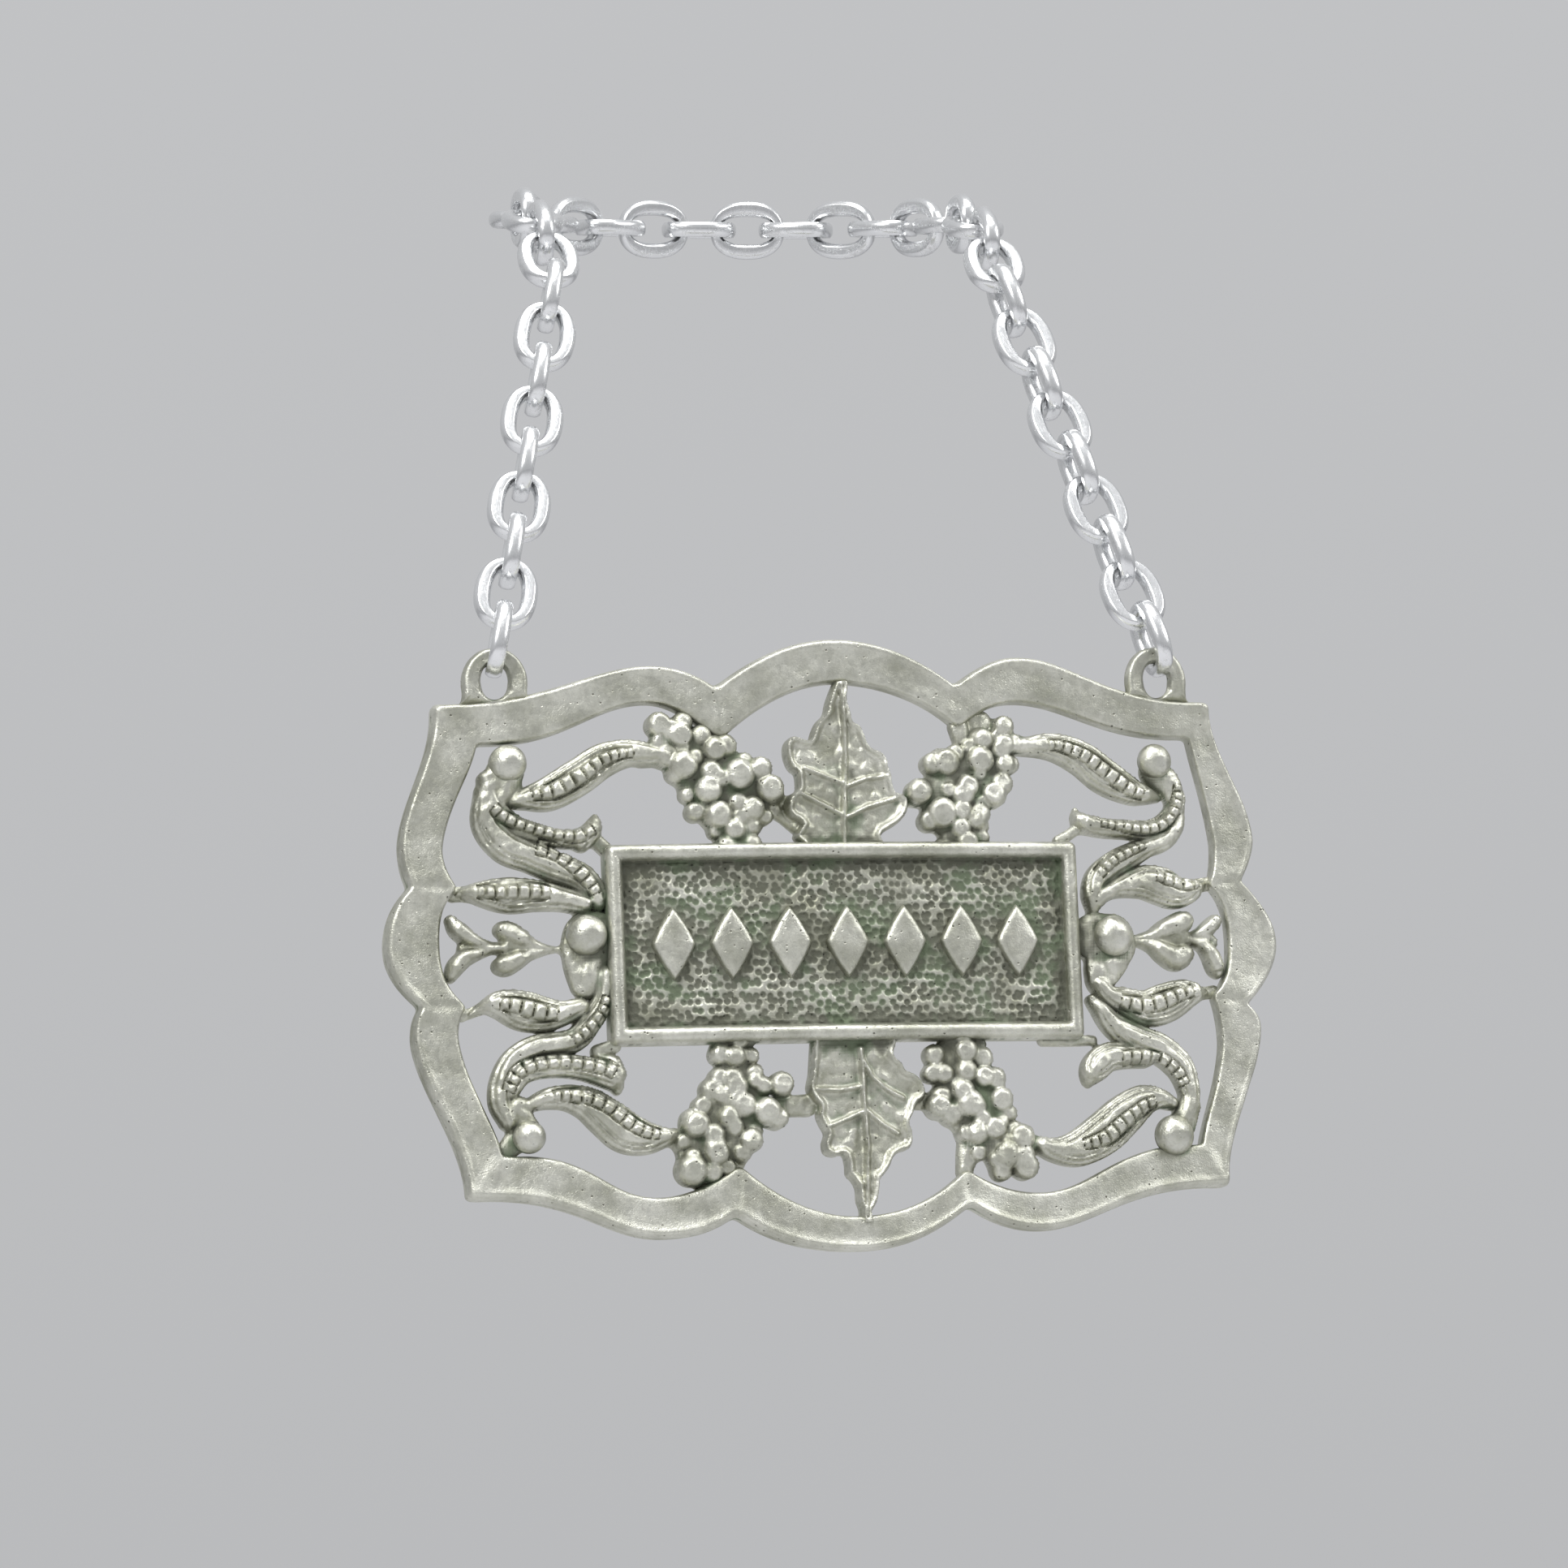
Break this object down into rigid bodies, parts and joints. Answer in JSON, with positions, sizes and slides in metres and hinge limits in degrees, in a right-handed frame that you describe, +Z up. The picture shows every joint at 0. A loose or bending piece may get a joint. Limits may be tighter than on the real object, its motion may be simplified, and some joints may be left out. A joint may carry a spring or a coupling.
{
  "type": "decanter label on a chain",
  "caption": "Openwork cast label with scalloped frame, vine scrolls and a plain-patterned panel, hung by two ears on a loop of oval chain links.",
  "frame": {"origin": "middle of the chain's loop, where the decanter's neck goes", "axes": "+X to the viewer's right, +Y from the label's face to its back, +Z up, the way the label hangs; the strands lie back from it as on a decanter's shoulder"},
  "size_m": [0.0644, 0.0439, 0.0852],
  "materials": {
    "pewter": "aged cast pewter, satin, darker in the recesses",
    "silver_plate": "bright silver plate, diamond-cut flats"
  },
  "bodies": {
    "collar": {"collar_link_01": "silver_plate", "collar_link_02": "silver_plate", "collar_link_03": "silver_plate", "collar_link_04": "silver_plate", "collar_link_05": "silver_plate", "collar_link_06": "silver_plate", "collar_link_07": "silver_plate", "collar_link_08": "silver_plate", "collar_link_09": "silver_plate", "collar_link_10": "silver_plate", "collar_link_11": "silver_plate", "collar_link_12": "silver_plate", "collar_link_13": "silver_plate", "collar_link_14": "silver_plate", "collar_link_15": "silver_plate", "collar_link_16": "silver_plate", "collar_link_17": "silver_plate", "collar_link_18": "silver_plate", "collar_link_19": "silver_plate", "collar_link_20": "silver_plate", "collar_link_21": "silver_plate"},
    "left_link_1": {"left_link_1": "silver_plate"},
    "left_link_2": {"left_link_2": "silver_plate"},
    "left_link_3": {"left_link_3": "silver_plate"},
    "left_link_4": {"left_link_4": "silver_plate"},
    "left_link_5": {"left_link_5": "silver_plate"},
    "left_link_6": {"left_link_6": "silver_plate"},
    "left_link_7": {"left_link_7": "silver_plate"},
    "left_link_8": {"left_link_8": "silver_plate"},
    "left_link_9": {"left_link_9": "silver_plate"},
    "right_link_1": {"right_link_1": "silver_plate"},
    "right_link_2": {"right_link_2": "silver_plate"},
    "right_link_3": {"right_link_3": "silver_plate"},
    "right_link_4": {"right_link_4": "silver_plate"},
    "right_link_5": {"right_link_5": "silver_plate"},
    "right_link_6": {"right_link_6": "silver_plate"},
    "right_link_7": {"right_link_7": "silver_plate"},
    "right_link_8": {"right_link_8": "silver_plate"},
    "right_link_9": {"right_link_9": "silver_plate"},
    "label": {"label_plate": "pewter"}
  },
  "joints": [
    {"name": "left_link_1_swing", "type": "hinge", "parent": "collar", "child": "left_link_1", "pos_m": [-0.01671, -0.01101, -0.00754], "axis": [1, 0, 0], "range_deg": [-35, 35]},
    {"name": "left_link_2_swing", "type": "hinge", "parent": "left_link_1", "child": "left_link_2", "pos_m": [-0.01729, -0.01199, -0.00994], "axis": [-1, 0, 0], "range_deg": [-35, 35]},
    {"name": "left_link_3_swing", "type": "hinge", "parent": "left_link_2", "child": "left_link_3", "pos_m": [-0.01835, -0.01378, -0.01438], "axis": [1, 0, 0], "range_deg": [-35, 35]},
    {"name": "left_link_4_swing", "type": "hinge", "parent": "left_link_3", "child": "left_link_4", "pos_m": [-0.01893, -0.01475, -0.01679], "axis": [-1, 0, 0], "range_deg": [-35, 35]},
    {"name": "left_link_5_swing", "type": "hinge", "parent": "left_link_4", "child": "left_link_5", "pos_m": [-0.01999, -0.01654, -0.02122], "axis": [1, 0, 0], "range_deg": [-35, 35]},
    {"name": "left_link_6_swing", "type": "hinge", "parent": "left_link_5", "child": "left_link_6", "pos_m": [-0.02057, -0.01751, -0.02363], "axis": [-1, 0, 0], "range_deg": [-35, 35]},
    {"name": "left_link_7_swing", "type": "hinge", "parent": "left_link_6", "child": "left_link_7", "pos_m": [-0.02163, -0.01931, -0.02806], "axis": [1, 0, 0], "range_deg": [-35, 35]},
    {"name": "left_link_8_swing", "type": "hinge", "parent": "left_link_7", "child": "left_link_8", "pos_m": [-0.02221, -0.02028, -0.03047], "axis": [-1, 0, 0], "range_deg": [-35, 35]},
    {"name": "left_link_9_swing", "type": "hinge", "parent": "left_link_8", "child": "left_link_9", "pos_m": [-0.02327, -0.02207, -0.03491], "axis": [1, 0, 0], "range_deg": [-35, 35]},
    {"name": "right_link_1_swing", "type": "hinge", "parent": "collar", "child": "right_link_1", "pos_m": [0.01671, -0.01101, -0.00754], "axis": [1, 0, 0], "range_deg": [-35, 35]},
    {"name": "right_link_2_swing", "type": "hinge", "parent": "right_link_1", "child": "right_link_2", "pos_m": [0.01729, -0.01199, -0.00994], "axis": [-1, 0, 0], "range_deg": [-35, 35]},
    {"name": "right_link_3_swing", "type": "hinge", "parent": "right_link_2", "child": "right_link_3", "pos_m": [0.01835, -0.01378, -0.01438], "axis": [1, 0, 0], "range_deg": [-35, 35]},
    {"name": "right_link_4_swing", "type": "hinge", "parent": "right_link_3", "child": "right_link_4", "pos_m": [0.01893, -0.01475, -0.01679], "axis": [-1, 0, 0], "range_deg": [-35, 35]},
    {"name": "right_link_5_swing", "type": "hinge", "parent": "right_link_4", "child": "right_link_5", "pos_m": [0.01999, -0.01654, -0.02122], "axis": [1, 0, 0], "range_deg": [-35, 35]},
    {"name": "right_link_6_swing", "type": "hinge", "parent": "right_link_5", "child": "right_link_6", "pos_m": [0.02057, -0.01751, -0.02363], "axis": [-1, 0, 0], "range_deg": [-35, 35]},
    {"name": "right_link_7_swing", "type": "hinge", "parent": "right_link_6", "child": "right_link_7", "pos_m": [0.02163, -0.01931, -0.02806], "axis": [1, 0, 0], "range_deg": [-35, 35]},
    {"name": "right_link_8_swing", "type": "hinge", "parent": "right_link_7", "child": "right_link_8", "pos_m": [0.02221, -0.02028, -0.03047], "axis": [-1, 0, 0], "range_deg": [-35, 35]},
    {"name": "right_link_9_swing", "type": "hinge", "parent": "right_link_8", "child": "right_link_9", "pos_m": [0.02327, -0.02207, -0.03491], "axis": [1, 0, 0], "range_deg": [-35, 35]},
    {"name": "label_swing", "type": "hinge", "parent": "left_link_9", "child": "label", "pos_m": [-0.02385, -0.02304, -0.03731], "axis": [-1, 0, 0], "range_deg": [-35, 35]}
  ],
  "couplings": [
    {"joint": "right_link_1_swing", "follows": "left_link_1_swing", "ratio": 1},
    {"joint": "right_link_2_swing", "follows": "left_link_2_swing", "ratio": 1},
    {"joint": "right_link_3_swing", "follows": "left_link_3_swing", "ratio": 1},
    {"joint": "right_link_4_swing", "follows": "left_link_4_swing", "ratio": 1},
    {"joint": "right_link_5_swing", "follows": "left_link_5_swing", "ratio": 1},
    {"joint": "right_link_6_swing", "follows": "left_link_6_swing", "ratio": 1},
    {"joint": "right_link_7_swing", "follows": "left_link_7_swing", "ratio": 1},
    {"joint": "right_link_8_swing", "follows": "left_link_8_swing", "ratio": 1},
    {"joint": "right_link_9_swing", "follows": "left_link_9_swing", "ratio": 1}
  ]
}
